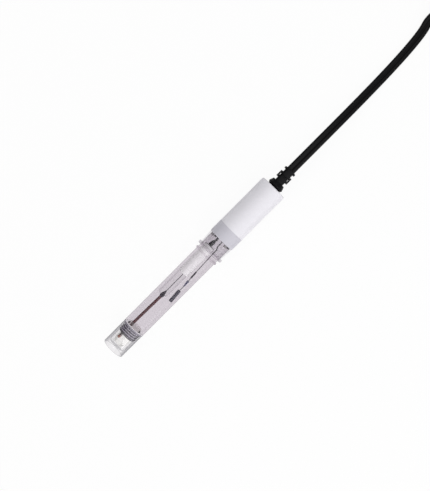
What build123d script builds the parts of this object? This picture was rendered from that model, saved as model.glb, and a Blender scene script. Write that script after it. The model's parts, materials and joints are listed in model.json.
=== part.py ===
from build123d import *
import os
from math import acos, atan2, cos, degrees, hypot, radians, sin, tan

# Combination pH electrode with a screw cap over its glass bulb and a flat twin lead.
# It is modelled along its own axis, with the cap's end face at x = 0 and the head at +X,
# and then laid down on the surface, where it rests on the cap and on the stop flange.
# All sizes are in millimetres.

# Clearances
running_gap = 0.05
end_gap = 0.02
bond_gap = 0.02
thread_gap = 0.10
# How far a cut reaches past what it cuts
cut_past = 1.0

# Screw cap
cap_radius = 7.9
cap_length = 18.7
cap_edge = 0.65
cap_end_wall = 3.0
cap_cavity_radius = 6.3
cap_cavity_corner = 2.5

# Threaded nose, with the seal between it and the stem's shoulder
thread_radius = 6.65
thread_turns = 4.1
thread_pitch = 1.5
thread_length = thread_turns * thread_pitch
thread_lead_in = 0.4
seal_thickness = 1.41
seal_radius = 7.95
seal_edge = 0.45
neck_radius = 5.5
neck_wall = 0.5
junction_length = 2.0

# Glass bulb and the plug on top of it
bulb_radius = 4.7
bulb_wall = 0.5
bulb_clear_of_cap = 0.9
bulb_above_shoulder = 2.0
plug_length = 4.2

# Stem tube and collar
stem_radius = 8.0
stem_wall = 1.5
shoulder_wall = 1.5
shoulder_edge = 0.3
shoulder_inner_round = 0.8
plain_stem = 66.35
bead_width = 1.5
bead_height = 0.75
bead_round = 0.68
bead_to_flange = 2.1
flange_radius = 10.0
flange_thickness = 1.6
flange_edge = 0.4
collar_length = 11.0
collar_low_radius = 8.6
collar_top_radius = 9.3
collar_root_round = 0.3
collar_pin_radius = 0.75
collar_pin_setback = 0.95
collar_pin_depth = 0.6
collar_pin_reach = 1.0
collar_pin_angles = (34, 124, 214, 304)

# Head
head_gap = 0.1
base_length = 9.3
base_radius = 9.55
base_edge = 0.25
stem_in_base = 6.6
spigot_length = 5.0
spigot_wall = 1.1
web_hole_radius = 5.0
head_radius = 9.5
head_length = 38.7
head_wall = 1.5
head_end_wall = 1.6
head_edge = 0.8
resin_length = 6.0
lead_past_resin = 8.0

# Inner electrode, at +Y. Its stations are counted from the stem's shoulder, and the tip's end
# from the centre of the bulb's rounding.
tip_before_centre = 0.8
tip_y = 2.79
rod_end_at = (26.65, 2.02)
tip_length = 2.0
tip_round = 0.6
rod_radius = 1.02
rod_seal_radius = 1.4
rod_seal_length = 5.2
rod_seal_shoulder = 0.8
rod_seal_waist = 2.3
rod_seal_round = 1.0
rod_seal_tail = 0.5
tube_y = 2.45
tube_radius = 3.3
tube_wall = 0.5
tube_start_at = 27.95
tube_end_radius = 2.4
sleeve_wall = 0.37
sleeve_start_at = 48.15
sleeve_end_at = 73.15
sleeve_end_wall = 1.0
sleeve_edge = 0.5
inner_wire_radius = 0.225
inner_wire_corner_at = (49.15, 1.92)
inner_wire_bend = 20.0
boot_y = 3.0
boot_radius = 1.5
boot_waist_radius = 1.4
boot_waist = 2.9
boot_length = 4.6
boot_turn = 9.0
boot_edges = (0.3, 0.6)
core_lead_radius = 0.75
core_lead_y = 2.28
core_lead_bend = 6.0

# Reference element and its lead, at -Y, counted from the shoulder too
reference_start_at = (28.65, -4.70)
reference_end_at = (38.35, -4.05)
reference_radius = 1.2
reference_round = 0.6
wire_radius = 0.25
wire_points_at = ((41.35, -4.12), (48.15, -3.62), (56.15, -3.13), (69.75, -2.57))
clip_span = (0.12, 0.80)
clip_radii = (0.42, 0.82)
clip_taper = 0.8
shrink_span = (0.14, 0.82)
shrink_radius = 0.52
shrink_edge = 0.2
reference_lead_radius = 0.39
reference_lead_points_at = ((74.15, -2.50), (76.35, -1.45))
lead_bend = 2.0
wire_bend = 8.0

# Strain relief: stations along it, from the head's end face
relief_neck_radius = 4.0
relief_lock_radius = 6.0
relief_lock_length = 2.0
relief_base_radius = 5.65
relief_base_end_radius = 4.55
relief_base_widest = 0.35
relief_base_round = 0.8
relief_base_length = 4.6
relief_ring_radius = 4.55
relief_rib_radius = 4.3
relief_ring_length = 1.5
relief_gaps = (2.3, 1.7, 2.3)
relief_nose_length = 0.6
relief_core_width = 6.3
relief_core_height = 4.2
relief_bar_width = 3.4
relief_bar_thickness = 0.8
relief_edge = 0.3

# Flat twin lead: two round strands side by side
strand_radius = 1.525
web_thickness = 1.2
# Its route, as distances along X from where it leaves the relief, then y, and height above the surface
exit_run = 18.0
lying_height = strand_radius + 0.06
run_points = (
    (40.0, 0.0, 10.6),
    (64.0, 0.1, 6.3),
    (88.0, 0.5, 2.7),
    (110.0, 1.5, lying_height + 0.1),
    (125.0, 3.2, lying_height),
)

# Hank of the lead that is put away
hank_x = 350.3
hank_y = -11.5
hank_reach = 30.0
hank_loop_radius = 19.0
hank_hole_radius = 12.0
hank_entry = 16.0
hank_exit = 12.0
tie_width = 6.0
tie_thickness = 0.5
tie_room = 0.34

# Yoke where the twin lead divides, and the two leads
yoke_start = (429.3, 1.0)
yoke_length = 14.0
yoke_width = 9.0
yoke_height = 7.0
yoke_edge = 1.5
tail_points = ((404.3, 5.4, 8.3), (417.3, 3.4, 5.2))
lead_spread = 1.9
lead_height = 2.4
ph_lead_points = ((450.3, 4.0, 2.4), (462.3, 4.3, 4.6))
temp_lead_points = ((450.3, -2.6, 1.7), (458.3, -7.0, 1.8), (466.3, -11.0, 3.0))

# Coaxial bayonet plug
plug_back = (474.8, 3.6)
plug_boot_length = 13.0
plug_boot_back_radius = 2.6
plug_boot_middle_radius = 3.1
plug_boot_front_radius = 4.5
plug_boot_stations = (7.15, 9.1)
plug_boot_round = 1.0
boot_back_edge = 0.4
plug_shoulder_radius = 5.9
plug_shoulder_length = 2.0
plug_shoulder_edge = 0.5
plug_back_wall = 0.5
plug_journal_radius = 4.65
plug_journal_length = 2.2
plug_shell_radius = 4.05
plug_shell_wall = 0.6
plug_shell_length = 8.0
plug_slit_width = 0.4
plug_slit_length = 6.0
plug_sleeve_radius = 7.25
plug_sleeve_length = 10.75
plug_sleeve_edge = 0.5
plug_socket_radius = 4.9
plug_groove_width = 2.3
plug_groove_depth = 0.8
plug_lock_set_back = 3.6
plug_lock_turn = 60.0
plug_knurl_count = 20
plug_knurl_radius = 0.45
plug_knurl_length = 5.0
plug_knurl_set_back = 0.5
snap_ring_thickness = 0.5
snap_ring_radius = 4.85
snap_ring_opening = 1.2
snap_groove_depth = 0.3
insulator_length = 6.3
contact_radius = 0.66
contact_length = 10.4
contact_point = 0.8
contact_tip_radius = 0.26

# Phone plug
phone_back = (474.3, -13.0)
grip_radius = 4.0
grip_length = 20.0
grip_tail_length = 8.0
grip_tail_radius = 2.3
grip_tail_front_radius = 2.8
grip_edge = 0.8
grip_slot_count = 3
grip_slot_start = 2.2
grip_slot_pitch = 2.0
grip_slot_length = 0.8
grip_slot_width = 2.6
grip_slot_floor = 2.0
shank_radius = 1.75
shank_length = 14.0
shank_tip_length = 3.4
shank_waist = 0.9
shank_waist_radius = 1.2
shank_head = 1.6
shank_head_round = 0.4
shank_tip_radius = 0.5

# Stations along the axis that follow from the sizes
seal_start = cap_length + end_gap
shoulder_x = seal_start + seal_thickness + end_gap
nose_x = cap_length - thread_length
bulb_x = cap_end_wall + bulb_clear_of_cap
bulb_top_x = shoulder_x + bulb_above_shoulder
bead_x = shoulder_x + plain_stem
flange_x = bead_x + bead_width + bead_to_flange
collar_top_x = flange_x + collar_length
base_x = collar_top_x + head_gap
stem_top_x = base_x + stem_in_base
head_x = base_x + base_length
head_end_x = head_x + head_length
relief_x = head_end_x + end_gap
relief_end_x = (
    relief_x + relief_base_length + sum(relief_gaps) + 3 * relief_ring_length + relief_nose_length
)
stem_bore = stem_radius - stem_wall
neck_bore = neck_radius - neck_wall
cord_width = 4 * strand_radius


def from_shoulder(point):
    return (shoulder_x + point[0], point[1])


tip_start = (bulb_x + bulb_radius - tip_before_centre, tip_y)
rod_end = from_shoulder(rod_end_at)
tube_start = shoulder_x + tube_start_at
sleeve_start, sleeve_end = shoulder_x + sleeve_start_at, shoulder_x + sleeve_end_at
inner_wire_corner = from_shoulder(inner_wire_corner_at)
reference_start, reference_end = from_shoulder(reference_start_at), from_shoulder(reference_end_at)
wire_points = [from_shoulder(point) for point in wire_points_at]
reference_lead_points = [from_shoulder(point) for point in reference_lead_points_at]

# The hank's loops run into its waist in hollow arcs, which end a little room before the tie.
arc_end = hank_reach - tie_width / 2 - tie_room
hank_fillet = (arc_end**2 - hank_loop_radius**2 + cord_width**2) / (2 * (hank_loop_radius - cord_width))

# The electrode lies on the edge of its cap and on its stop flange. Both edges are rounded, and the
# tilt is the one at which the lowest points of the two roundings are level.
rise = (flange_radius - flange_edge) - (cap_radius - cap_edge)
reach = (flange_x + flange_edge) - cap_edge
tilt = acos((cap_edge - flange_edge) / hypot(rise, reach)) - atan2(reach, rise)
axis_height = (cap_radius - cap_edge) * cos(tilt) - cap_edge * sin(tilt) + cap_edge
# Its length is centred on the origin.
low_end = cap_edge * cos(tilt) - (cap_radius - cap_edge) * sin(tilt) - cap_edge
high_end = relief_end_x * cos(tilt) + relief_core_height / 2 * sin(tilt)
shift_x = -(low_end + high_end) / 2


def laid(solid):
    """The electrode's piece, moved from its own axis to where it lies."""
    return Pos(shift_x, 0, axis_height) * Rotation(0, -degrees(tilt), 0) * solid


def laid_point(x, y, z=0):
    """A point on the electrode's own axes, where it lies."""
    return Vector(x * cos(tilt) - z * sin(tilt) + shift_x, y, x * sin(tilt) + z * cos(tilt) + axis_height)


def turned(outline, rounds=()):
    """A solid of revolution about X. The outline is stations and radii, and rounds are (corner, radius)."""
    face = make_face(Polyline(*[(x, r) for x, r in outline], close=True))
    for corner, radius in rounds:
        place = Vector(*outline[corner], 0)
        vertex = min(face.vertices(), key=lambda v: (Vector(*v) - place).length)
        face = fillet(vertex, radius)
    return revolve(face, Axis.X)


def ring(low, high, bore, radius):
    """The outline of a plain ring between two stations. A bore of 0 makes it a disc."""
    return [(low, bore), (low, radius), (high, radius), (high, bore)]


def along(start, end):
    """The place of a piece that is turned about X, with its station 0 at start and its axis towards end."""
    turn = degrees(atan2(end[1] - start[1], end[0] - start[0]))
    return Pos(start[0], start[1], 0) * Rotation(0, 0, turn)


def run_length(start, end):
    return hypot(end[0] - start[0], end[1] - start[1])


def between(start, end, share):
    """The point at that share of the way from start to end."""
    return tuple(a + (b - a) * share for a, b in zip(start, end))


def just_past(start, end):
    """The point on the line from start to end that leaves the end gap behind the end."""
    return between(start, end, 1 + end_gap / run_length(start, end))


def rod(start, end, radius):
    """A round rod in the plane of the axis."""
    return along(start, end) * turned(ring(0, run_length(start, end), 0, radius))


def wire(points, radius, bend):
    """A round wire through points in the plane of the axis, with the same bend at each."""
    path = FilletPolyline(*[(x, y, 0) for x, y in points], radius=bend)
    return sweep(Plane(origin=path @ 0, z_dir=path % 0) * Circle(radius), path=path)


# Cap and nose


def tip_cap():
    thread_bore = thread_radius + thread_gap
    outline = [
        (0, 0),
        (0, cap_radius),
        (cap_length, cap_radius),
        (cap_length, thread_bore),
        (nose_x - end_gap, thread_bore),
        (nose_x - end_gap, cap_cavity_radius),
        (cap_end_wall, cap_cavity_radius),
        (cap_end_wall, 0),
    ]
    return turned(outline, [(1, cap_edge), (2, cap_edge / 2), (6, cap_cavity_corner)])


def cap_seal():
    outline = ring(seal_start, seal_start + seal_thickness, neck_radius + running_gap, seal_radius)
    return turned(outline, [(1, seal_edge), (2, seal_edge)])


def threaded_nose():
    bore = neck_radius + bond_gap
    return turned(
        [
            (nose_x, bore),
            (nose_x, thread_radius - thread_lead_in),
            (nose_x + thread_lead_in, thread_radius),
            (cap_length, thread_radius),
            (cap_length, bore),
        ]
    )


def junction_ring():
    return turned(ring(nose_x, nose_x + junction_length, bulb_radius + bond_gap, neck_radius))


def glass_bulb():
    centre = bulb_x + bulb_radius
    bore = bulb_radius - bulb_wall
    outer = Pos(centre, 0, 0) * Sphere(bulb_radius) + turned(ring(centre, bulb_top_x, 0, bulb_radius))
    inner = Pos(centre, 0, 0) * Sphere(bore) + turned(ring(centre, bulb_top_x + cut_past, 0, bore))
    return outer - inner


def bulb_plug():
    plug = turned(ring(bulb_top_x - plug_length, bulb_top_x, 0, bulb_radius - bulb_wall - bond_gap))
    return plug - rod(tip_start, rod_end, rod_radius + bond_gap)


# Stem, collar and head


def radial_pin(angle, radius, inner, outer):
    """A pin across the axis, at the collar's pins, from one radius to another."""
    pin = Pos(collar_top_x - collar_pin_setback, 0, 0) * Rotation(angle, 0, 0)
    return pin * Pos(0, 0, (inner + outer) / 2) * Cylinder(radius, outer - inner)


def stem_tube():
    neck_start = nose_x + junction_length + end_gap
    tube = turned(
        [
            (neck_start, neck_bore),
            (neck_start, neck_radius),
            (shoulder_x, neck_radius),
            (shoulder_x, stem_radius),
            (stem_top_x, stem_radius),
            (stem_top_x, stem_bore),
            (shoulder_x + shoulder_wall, stem_bore),
            (shoulder_x + shoulder_wall, neck_bore),
        ],
        [(3, shoulder_edge), (6, shoulder_inner_round)],
    )
    tube += turned(
        [
            (bead_x, stem_bore + stem_wall / 2),
            (bead_x, stem_radius + bead_height),
            (bead_x + bead_width, stem_radius + bead_height),
            (bead_x + bead_width, stem_bore + stem_wall / 2),
        ],
        [(1, bead_round), (2, bead_round)],
    )
    pin_seat = stem_radius - collar_pin_depth - bond_gap
    for angle in collar_pin_angles:
        tube -= radial_pin(angle, collar_pin_radius + bond_gap, pin_seat, collar_top_radius)
    return tube


def collar():
    bore = stem_radius + bond_gap
    shell = turned(
        [
            (flange_x, bore),
            (flange_x, flange_radius),
            (flange_x + flange_thickness, flange_radius),
            (flange_x + flange_thickness, collar_low_radius),
            (collar_top_x, collar_top_radius),
            (collar_top_x, bore),
        ],
        [(1, flange_edge), (2, flange_edge), (3, collar_root_round)],
    )
    for angle in collar_pin_angles:
        shell -= radial_pin(angle, collar_pin_radius + bond_gap, stem_bore, flange_radius)
    return shell


def collar_pins():
    inner, outer = stem_radius - collar_pin_depth, stem_radius + collar_pin_reach
    pins = [radial_pin(angle, collar_pin_radius, inner, outer) for angle in collar_pin_angles]
    return Compound(children=[pin.solid() for pin in pins])


def stem_plug():
    low, high = stem_top_x - resin_length, stem_top_x
    plug = turned(ring(low, high, 0, stem_bore - bond_gap))
    reference_y = reference_lead_points[-1][1]
    for y, lead_radius in ((core_lead_y, core_lead_radius), (reference_y, reference_lead_radius)):
        plug -= rod((low - cut_past, y), (high + cut_past, y), lead_radius + bond_gap)
    return plug


def head_base():
    bore = stem_radius + bond_gap
    spigot = head_radius - head_wall - bond_gap
    return turned(
        [
            (base_x, bore),
            (base_x, base_radius),
            (head_x, base_radius),
            (head_x, spigot),
            (head_x + spigot_length, spigot),
            (head_x + spigot_length, spigot - spigot_wall),
            (head_x, spigot - spigot_wall),
            (head_x, web_hole_radius),
            (stem_top_x + end_gap, web_hole_radius),
            (stem_top_x + end_gap, bore),
        ],
        [(1, base_edge)],
    )


def head_cap():
    bore = head_radius - head_wall
    return turned(
        [
            (head_x + end_gap, bore),
            (head_x + end_gap, head_radius),
            (head_end_x, head_radius),
            (head_end_x, relief_neck_radius + running_gap),
            (head_end_x - head_end_wall, relief_neck_radius + running_gap),
            (head_end_x - head_end_wall, bore),
        ],
        [(2, head_edge), (5, head_wall / 2)],
    )


# Inner electrode


def inner_tip():
    return along(tip_start, rod_end) * turned(ring(0, tip_length, 0, rod_radius), [(1, tip_round)])


def inner_rod():
    start = between(tip_start, rod_end, (tip_length + end_gap) / run_length(tip_start, rod_end))
    return rod(start, rod_end, rod_radius)


def rod_seal():
    return along(rod_end, between(tip_start, rod_end, 2)) * turned(
        [
            (end_gap, 0),
            (end_gap, rod_radius),
            (rod_seal_shoulder, rod_seal_radius),
            (rod_seal_waist, rod_seal_radius),
            (rod_seal_length, rod_seal_tail),
            (rod_seal_length, 0),
        ],
        [(3, rod_seal_round)],
    )


def seal_end():
    """The point where the rod's seal ends and the wire starts."""
    length = run_length(tip_start, rod_end)
    return between(tip_start, rod_end, (length + rod_seal_length + end_gap) / length)


def inner_tube():
    end = sleeve_end - sleeve_end_wall - end_gap
    tube = turned(
        [
            (tube_start, 0),
            (tube_start, tube_radius),
            (end, tube_radius),
            (end, tube_radius - tube_wall),
            (tube_start + tube_wall, tube_radius - tube_wall),
            (tube_start + tube_wall, 0),
        ],
        [(1, tube_end_radius), (4, tube_end_radius - tube_wall)],
    )
    return Pos(0, tube_y, 0) * tube - rod(rod_end, seal_end(), rod_seal_radius + bond_gap)


def inner_wire():
    return wire([seal_end(), inner_wire_corner, (sleeve_end, boot_y)], inner_wire_radius, inner_wire_bend)


def white_sleeve():
    bore = tube_radius + bond_gap
    outer = bore + sleeve_wall
    sleeve = turned(
        [
            (sleeve_start, bore),
            (sleeve_start, outer),
            (sleeve_end, outer),
            (sleeve_end, 0),
            (sleeve_end - sleeve_end_wall, 0),
            (sleeve_end - sleeve_end_wall, bore),
        ],
        [(2, sleeve_edge)],
    )
    before = (sleeve_end - 2 * sleeve_end_wall, boot_y)
    after = (sleeve_end + sleeve_end_wall, boot_y)
    return Pos(0, tube_y, 0) * sleeve - rod(before, after, 2 * inner_wire_radius)


def boot_end():
    """The middle of the boot's narrow end."""
    turn = radians(boot_turn)
    return (boot_start_x() + boot_length * cos(turn), boot_y - boot_length * sin(turn))


def boot_start_x():
    return sleeve_end + end_gap + boot_radius * sin(radians(boot_turn))


def lead_boot():
    return Pos(boot_start_x(), boot_y, 0) * Rotation(0, 0, -boot_turn) * turned(
        [
            (0, 0),
            (0, boot_radius),
            (boot_waist, boot_waist_radius),
            (boot_length, core_lead_radius),
            (boot_length, 0),
        ],
        [(1, boot_edges[0]), (2, boot_edges[1])],
    )


def lead_end_x():
    """The station in the head where the strain relief takes over the two leads."""
    return head_end_x - head_end_wall - end_gap - relief_lock_length


def core_lead():
    start_x, start_y = boot_end()
    points = [
        (start_x + core_lead_radius * sin(radians(boot_turn)), start_y),
        (base_x, core_lead_y),
        (stem_top_x + lead_past_resin, core_lead_y),
        (lead_end_x(), strand_radius),
    ]
    return wire(points, core_lead_radius, core_lead_bend)


def reference_element():
    outline = ring(0, run_length(reference_start, reference_end), 0, reference_radius)
    element = turned(outline, [(1, reference_round), (2, reference_round)])
    return along(reference_start, reference_end) * element


def reference_wire():
    return wire([just_past(reference_start, reference_end), *wire_points], wire_radius, wire_bend)


def wire_clip():
    low, high = (between(wire_points[0], wire_points[1], share) for share in clip_span)
    length = run_length(low, high)
    bore = wire_radius + bond_gap
    narrow, wide = clip_radii
    return along(low, high) * turned(
        [(0, bore), (0, narrow), (length * clip_taper, wide), (length, wide), (length, bore)]
    )


def shrink_sleeve():
    low, high = (between(wire_points[1], wire_points[2], share) for share in shrink_span)
    outline = ring(0, run_length(low, high), wire_radius + bond_gap, shrink_radius)
    return along(low, high) * turned(outline, [(1, shrink_edge), (2, shrink_edge)])


def reference_lead():
    points = [
        just_past(wire_points[-2], wire_points[-1]),
        *reference_lead_points,
        (stem_top_x + lead_past_resin, reference_lead_points[-1][1]),
        (lead_end_x(), -strand_radius),
    ]
    return wire(points, reference_lead_radius, lead_bend)


# Strain relief


def oval(width, height):
    """A flat section with round sides, its width along the first axis."""
    return SlotOverall(width, height)


def strain_relief():
    stations = [relief_x, relief_x + relief_base_length]
    for gap in relief_gaps:
        stations += [stations[-1] + gap, stations[-1] + gap + relief_ring_length]
    wall_start = head_end_x - head_end_wall
    lock_end = wall_start - end_gap
    rib_start = stations[6]
    body = turned(
        [
            (lock_end - relief_lock_length, 0),
            (lock_end - relief_lock_length, relief_lock_radius),
            (lock_end, relief_lock_radius),
            (lock_end, relief_neck_radius),
            (relief_x, relief_neck_radius),
            (relief_x, relief_base_end_radius),
            (relief_x + relief_base_length * relief_base_widest, relief_base_radius),
            (stations[1], relief_ring_radius),
            (rib_start - relief_gaps[2] / 2, relief_ring_radius),
            (rib_start - relief_gaps[2] / 2, relief_rib_radius),
            (stations[7], relief_rib_radius),
            (stations[7], 0),
        ],
        [(5, relief_edge), (6, relief_base_round), (10, relief_edge)],
    )
    core_section = Plane(origin=(relief_x, 0, 0), x_dir=(0, 1, 0), z_dir=(1, 0, 0))
    core = extrude(core_section * oval(relief_core_width, relief_core_height), relief_end_x - relief_x)
    for number, gap in enumerate(relief_gaps):
        start = stations[1 + 2 * number]
        # The bars that bridge a gap are above and below the lead, and in the middle gap beside it.
        turn = 90 if number == 1 else 0
        middle = Pos(start + gap / 2, 0, 0)
        wide = 4 * relief_ring_radius
        shell = turned(
            ring(start - cut_past, start + gap + cut_past, relief_ring_radius - relief_bar_thickness, wide)
        )
        bar_length = gap + 2 * cut_past
        bars = shell & (middle * Rotation(turn, 0, 0) * Box(bar_length, relief_bar_width, 2 * wide))
        body -= middle * Box(gap, wide, wide) - bars
    return body + core


# Lead


def bend_radii(points):
    """The radius at each corner: 0.45 of its shorter run, divided by the tangent of half the turn."""
    radii = []
    for a, b, c in zip(points, points[1:], points[2:]):
        turn = radians((b - a).get_angle(c - b))
        radii.append(0.45 * min((b - a).length, (c - b).length) / tan(turn / 2))
    return radii


def swept(points, section):
    """A section along straight runs joined by tangent arcs."""
    points = [Vector(*p) for p in points]
    path = FilletPolyline(*points, radius=bend_radii(points))
    return sweep(Plane(origin=path @ 0, x_dir=(0, 1, 0), z_dir=path % 0) * section, path=path)


def twin_section():
    strands = Pos(strand_radius, 0) * Circle(strand_radius) + Pos(-strand_radius, 0) * Circle(strand_radius)
    return strands + Rectangle(2 * strand_radius, web_thickness)


def exit_point():
    return laid_point(relief_end_x, 0)


def cord_run():
    start = exit_point()
    second = start + Vector(cos(tilt), 0, sin(tilt)) * exit_run
    points = [start, second]
    points += [Vector(start.X + x, y, z) for x, y, z in run_points]
    points.append(Vector(*hank_start()))
    return swept(points, twin_section()) - cord_hank()


def hank_start():
    """Where the lead meets the hank, in the middle of the lead."""
    y = hank_y + hank_loop_radius - strand_radius
    return (hank_x + shift_x - hank_reach - hank_entry, y, lying_height)


def cord_hank():
    """The outer shape of the tied hank: two loops and a waist, two turns wide and two turns high."""
    height = 2 * cord_width
    outline = Rectangle(2 * hank_reach, height)
    for side in (-1, 1):
        outline += Pos(side * hank_reach, 0) * Circle(hank_loop_radius)
    inner_corners = [v for v in outline.vertices() if abs(abs(v.Y) - height / 2) < 0.01]
    outline = fillet(inner_corners, hank_fillet)
    for side in (-1, 1):
        outline -= Pos(side * hank_reach, 0) * Circle(hank_hole_radius)
    solid = extrude(outline, height)
    # The lead comes in low at the first loop and leaves high at the second one, both at the back.
    entry = Box(hank_entry, cord_width, cord_width)
    leaving = Box(hank_exit, 2 * strand_radius, cord_width)
    back = hank_loop_radius - strand_radius
    solid += Pos(-hank_reach - hank_entry / 2, back, cord_width / 2) * entry
    solid += Pos(hank_reach + hank_exit / 2, back, 1.5 * cord_width) * leaving
    solid -= Box(tie_width, 2 * hank_loop_radius, 2 * tie_thickness)
    return Pos(hank_x + shift_x, hank_y, 0) * solid


def cord_tie():
    width = 2 * cord_width + 2 * tie_thickness
    height = 2 * cord_width + tie_thickness
    band = Pos(0, 0, height / 2) * Box(tie_width, width, height)
    band = fillet(band.edges().filter_by(Axis.X), tie_thickness * 0.9)
    band -= Pos(0, 0, height / 2) * Box(2 * tie_width, 2 * cord_width, height - 2 * tie_thickness)
    return Pos(hank_x + shift_x, hank_y, 0) * band


def cord_tail():
    start = (
        hank_x + shift_x + hank_reach + hank_exit,
        hank_y + hank_loop_radius - strand_radius,
        1.5 * cord_width,
    )
    end = (yoke_start[0] + shift_x, yoke_start[1], yoke_height / 2)
    points = [start, *[(x + shift_x, y, z) for x, y, z in tail_points], end]
    on_edge = Rotation(0, 0, 90) * twin_section()
    return swept(points, on_edge) - cord_hank() - lead_yoke()


def lead_yoke():
    block = Box(yoke_length, yoke_width, yoke_height)
    block = fillet(block.edges(), yoke_edge)
    return Pos(yoke_start[0] + shift_x + yoke_length / 2, yoke_start[1], yoke_height / 2) * block


def yoke_exit(side):
    return (yoke_start[0] + shift_x + yoke_length, yoke_start[1] + side * lead_spread, lead_height)


def ph_lead():
    end = (plug_back[0] + shift_x, plug_back[1], plug_sleeve_radius)
    points = [yoke_exit(1), *[(x + shift_x, y, z) for x, y, z in ph_lead_points], end]
    return swept(points, Circle(strand_radius)) - lead_yoke() - plug_boot()


def temp_lead():
    end = (phone_back[0] + shift_x, phone_back[1], grip_radius)
    points = [yoke_exit(-1), *[(x + shift_x, y, z) for x, y, z in temp_lead_points], end]
    return swept(points, Circle(strand_radius)) - lead_yoke() - phone_grip()


# Coaxial bayonet plug: stations from the back of its boot

shoulder_at = plug_boot_length
journal_at = shoulder_at + plug_shoulder_length
shell_at = journal_at + plug_journal_length
sleeve_at = journal_at + running_gap
sleeve_front = sleeve_at + plug_sleeve_length


def on_plug(solid):
    return Pos(plug_back[0] + shift_x, plug_back[1], plug_sleeve_radius) * solid


def plug_boot():
    boot = turned(
        [
            (0, 0),
            (0, plug_boot_back_radius),
            (plug_boot_stations[0], plug_boot_middle_radius),
            (plug_boot_stations[1], plug_boot_front_radius),
            (plug_boot_length, plug_boot_front_radius),
            (plug_boot_length, 0),
        ],
        [(1, boot_back_edge), (3, plug_boot_round)],
    )
    return on_plug(boot)


def plug_body():
    bore = plug_shell_radius - plug_shell_wall
    groove_at = shell_at - snap_ring_thickness - end_gap
    body = turned(
        [
            (shoulder_at, 0),
            (shoulder_at, plug_shoulder_radius),
            (journal_at, plug_shoulder_radius),
            (journal_at, plug_journal_radius),
            (groove_at, plug_journal_radius),
            (groove_at, plug_journal_radius - snap_groove_depth),
            (shell_at, plug_journal_radius - snap_groove_depth),
            (shell_at, plug_shell_radius),
            (shell_at + plug_shell_length, plug_shell_radius),
            (shell_at + plug_shell_length, bore),
            (journal_at, bore),
            (journal_at, contact_radius + bond_gap),
            (shoulder_at + plug_back_wall, contact_radius + bond_gap),
            (shoulder_at + plug_back_wall, 0),
        ],
        [(1, plug_shoulder_edge), (2, plug_shoulder_edge)],
    )
    slit_x = shell_at + plug_shell_length - plug_slit_length / 2
    slit = Box(plug_slit_length + cut_past, 4 * plug_shell_radius, plug_slit_width)
    for turn in (45, 135):
        body -= Pos(slit_x + cut_past / 2, 0, 0) * Rotation(turn, 0, 0) * slit
    return on_plug(body)


def snap_ring():
    bore = plug_journal_radius - snap_groove_depth + bond_gap
    clip = turned(ring(shell_at - snap_ring_thickness, shell_at, bore, snap_ring_radius))
    opening = Box(2 * snap_ring_thickness, snap_ring_opening, snap_ring_radius)
    return on_plug(clip - Pos(shell_at - snap_ring_thickness / 2, 0, snap_ring_radius) * opening)


def plug_sleeve():
    wall_end = shell_at - snap_ring_thickness - running_gap
    sleeve = turned(
        [
            (sleeve_at, plug_journal_radius + running_gap),
            (sleeve_at, plug_sleeve_radius),
            (sleeve_front, plug_sleeve_radius),
            (sleeve_front, plug_socket_radius),
            (wall_end, plug_socket_radius),
            (wall_end, plug_journal_radius + running_gap),
        ],
        [(1, plug_sleeve_edge), (2, plug_sleeve_edge)],
    )
    lock_x = sleeve_front - plug_lock_set_back
    for side in (0, 180):
        groove_height = plug_socket_radius + plug_groove_depth
        groove = Pos(sleeve_front - (plug_lock_set_back - cut_past) / 2, 0, groove_height / 2)
        groove = groove * Box(plug_lock_set_back + cut_past, plug_groove_width, groove_height)
        sleeve -= Rotation(side, 0, 0) * groove
        hole = Pos(lock_x, 0, plug_sleeve_radius) * Cylinder(plug_groove_width / 2, plug_sleeve_radius)
        sleeve -= Rotation(side + plug_lock_turn, 0, 0) * hole
    flute = Rotation(0, 90, 0) * Cylinder(plug_knurl_radius, plug_knurl_length)
    flute_x = sleeve_at + plug_knurl_set_back + plug_knurl_length / 2
    for number in range(plug_knurl_count):
        turn = 360 / plug_knurl_count * (number + 0.5)
        sleeve -= Rotation(turn, 0, 0) * Pos(flute_x, 0, plug_sleeve_radius + plug_knurl_radius / 2) * flute
    return on_plug(sleeve)


def plug_insulator():
    low = journal_at + end_gap
    radius = plug_shell_radius - plug_shell_wall - bond_gap
    return on_plug(turned(ring(low, low + insulator_length, contact_radius + bond_gap, radius)))


def plug_pin():
    low = shoulder_at + plug_back_wall + end_gap
    high = low + contact_length
    outline = ring(low, high - contact_point, 0, contact_radius)[:3]
    return on_plug(turned([*outline, (high, contact_tip_radius), (high, 0)]))


# Phone plug


def on_phone(solid):
    return Pos(phone_back[0] + shift_x, phone_back[1], grip_radius) * solid


def phone_grip():
    body_at = grip_tail_length
    end = body_at + grip_length
    grip = turned(
        [
            (0, 0),
            (0, grip_tail_radius),
            (body_at, grip_tail_front_radius),
            (body_at, grip_radius),
            (end, grip_radius),
            (end, 0),
        ],
        [(1, boot_back_edge), (3, grip_edge), (4, grip_edge)],
    )
    for number in range(grip_slot_count):
        slot_x = grip_slot_start + grip_slot_pitch * number
        slot = turned(ring(slot_x, slot_x + grip_slot_length, grip_slot_floor, grip_radius))
        side = Pos(slot_x, 0, 0) * Rotation(90 * number, 0, 0)
        grip -= slot & (side * Box(4 * grip_slot_length, 2 * grip_radius, grip_slot_width))
    return on_phone(grip)


def phone_shank():
    start = grip_tail_length + grip_length + end_gap
    tip = start + shank_length - shank_tip_length
    shank = turned(
        [
            (start, 0),
            (start, shank_radius),
            (tip, shank_radius),
            (tip + shank_waist, shank_waist_radius),
            (tip + shank_head, shank_radius),
            (start + shank_length, shank_tip_radius),
            (start + shank_length, 0),
        ],
        [(4, shank_head_round)],
    )
    return on_phone(shank)


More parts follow.
